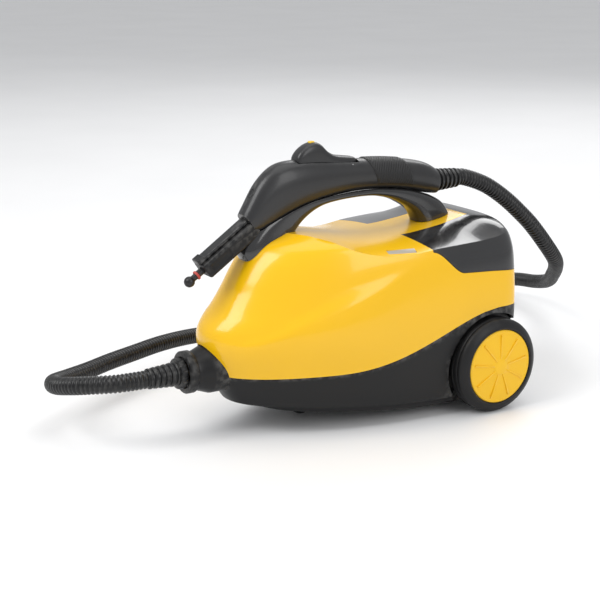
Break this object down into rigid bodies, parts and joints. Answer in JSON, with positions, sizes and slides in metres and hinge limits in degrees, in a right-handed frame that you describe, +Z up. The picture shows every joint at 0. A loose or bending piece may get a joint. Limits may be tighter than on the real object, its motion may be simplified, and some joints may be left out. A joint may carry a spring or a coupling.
{
  "type": "canister steam cleaner",
  "caption": "Wheeled canister steam cleaner with a rear lid over its filler and tray, and a steam gun on a corrugated hose parked on its carrying handle.",
  "frame": {"origin": "centre of the machine's bounding box, without the hose, on the floor", "axes": "+Z up, -Y towards the hose outlet at the nose, +X towards the side with the badge"},
  "size_m": [0.4811, 0.8237, 0.313],
  "materials": {
    "moulded_black": "satin",
    "moulded_yellow": "glossy",
    "gloss_black": "glossy",
    "gun_grey": "satin",
    "switch_black": "satin",
    "cap_grey": "satin",
    "grip_rubber": "ribbed, soft",
    "hose_rubber": "satin",
    "seal_rubber": "matt",
    "seal_red": "satin",
    "tyre_rubber": "satin",
    "hub_yellow": "satin",
    "mark_yellow": "satin",
    "steel": "brushed",
    "boiler_steel": "drawn",
    "brass": "turned",
    "copper": "drawn tube",
    "lens_green": "clear tinted",
    "lens_orange": "clear tinted",
    "badge_grey": "satin"
  },
  "bodies": {
    "machine_base": {"base_tub": "moulded_black", "upper_hood": "moulded_yellow", "nose_collar": "moulded_black", "hinge_leaf_hood": "moulded_black", "hinge_pin": "steel", "storage_tray": "moulded_black", "filler_neck": "brass", "filler_seal": "seal_rubber", "boiler_half_left": "boiler_steel", "boiler_half_right": "boiler_steel", "boiler_gasket": "seal_rubber", "heating_element": "copper", "thermostat": "switch_black", "pressure_switch": "switch_black", "boiler_saddle_left": "switch_black", "boiler_saddle_right": "switch_black", "steam_valve": "switch_black", "steam_pipe": "copper", "hose_coupling": "brass", "rear_axle": "steel", "axle_clip_left": "steel", "axle_clip_right": "steel", "service_plate": "moulded_black", "plate_screw_left": "steel", "plate_screw_right": "steel", "carry_handle": "gloss_black", "gun_shell_left": "gun_grey", "gun_shell_right": "gun_grey", "gun_valve": "switch_black", "gun_steam_pipe": "brass", "grip_sleeve": "grip_rubber", "lever_pin": "steel", "connector_body": "moulded_black", "latch_rail": "switch_black", "nozzle_tube": "switch_black", "nozzle_seal": "seal_red", "hose_nut": "moulded_black", "hose_sleeve_nose": "hose_rubber", "hose_sleeve_gun": "hose_rubber", "steam_hose": "hose_rubber", "mains_gland": "moulded_black", "lamp_power": "lens_green", "lamp_heat": "lens_orange", "badge": "badge_grey"},
    "wheel_left": {"rim_left": "moulded_black", "tyre_left": "tyre_rubber", "hub_cap_left": "hub_yellow"},
    "wheel_right": {"rim_right": "moulded_black", "tyre_right": "tyre_rubber", "hub_cap_right": "hub_yellow"},
    "caster_swivel": {"caster_fork": "moulded_black", "caster_pin": "steel"},
    "caster_roller": {"caster_wheel": "tyre_rubber"},
    "lid": {"rear_lid": "gloss_black", "hinge_leaf_lid": "moulded_black"},
    "cap_stem": {"cap_plug": "cap_grey"},
    "cap_knob": {"cap_grip": "moulded_black"},
    "steam_lever": {"thumb_lever": "gun_grey"},
    "lever_lock": {"lock_slider": "mark_yellow"},
    "gun_button": {"release_button": "switch_black"}
  },
  "joints": [
    {"name": "wheel_left_spin", "type": "hinge", "parent": "machine_base", "child": "wheel_left", "pos_m": [-0.106, 0.146, 0.055], "axis": [1, 0, 0], "continuous": true},
    {"name": "wheel_right_spin", "type": "hinge", "parent": "machine_base", "child": "wheel_right", "pos_m": [0.106, 0.146, 0.055], "axis": [1, 0, 0], "continuous": true},
    {"name": "caster_turn", "type": "hinge", "parent": "machine_base", "child": "caster_swivel", "pos_m": [0, -0.059, 0.04], "axis": [0, 0, 1], "continuous": true},
    {"name": "caster_spin", "type": "hinge", "parent": "caster_swivel", "child": "caster_roller", "pos_m": [0, -0.049, 0.015], "axis": [1, 0, 0], "continuous": true},
    {"name": "lid_hinge", "type": "hinge", "parent": "machine_base", "child": "lid", "pos_m": [0, 0.1944, 0.1594], "axis": [-1, 0, 0], "range_deg": [0, 90]},
    {"name": "cap_lift", "type": "slide", "parent": "machine_base", "child": "cap_stem", "axis": [0, 0, 1], "range_m": [0, 0.004]},
    {"name": "cap_turn", "type": "hinge", "parent": "cap_stem", "child": "cap_knob", "pos_m": [-0.058, 0.106, 0.18], "axis": [0, 0, 1], "range_deg": [0, 360]},
    {"name": "lever_press", "type": "hinge", "parent": "machine_base", "child": "steam_lever", "pos_m": [0, 0.013, 0.2837], "axis": [1, 0, 0], "range_deg": [0, 5], "stiffness_Nm_per_rad": 0.8, "springref_deg": -6.88},
    {"name": "lock_slide", "type": "slide", "parent": "steam_lever", "child": "lever_lock", "axis": [0, 1, 0], "range_m": [0, 0.003]},
    {"name": "button_press", "type": "slide", "parent": "machine_base", "child": "gun_button", "axis": [0, 0.8387, -0.5446], "range_m": [0, 0.0025], "stiffness_N_per_m": 300, "springref_m": -0.002}
  ],
  "couplings": [
    {"joint": "cap_lift", "follows": "cap_turn", "m_per_rad": 0.000636}
  ]
}
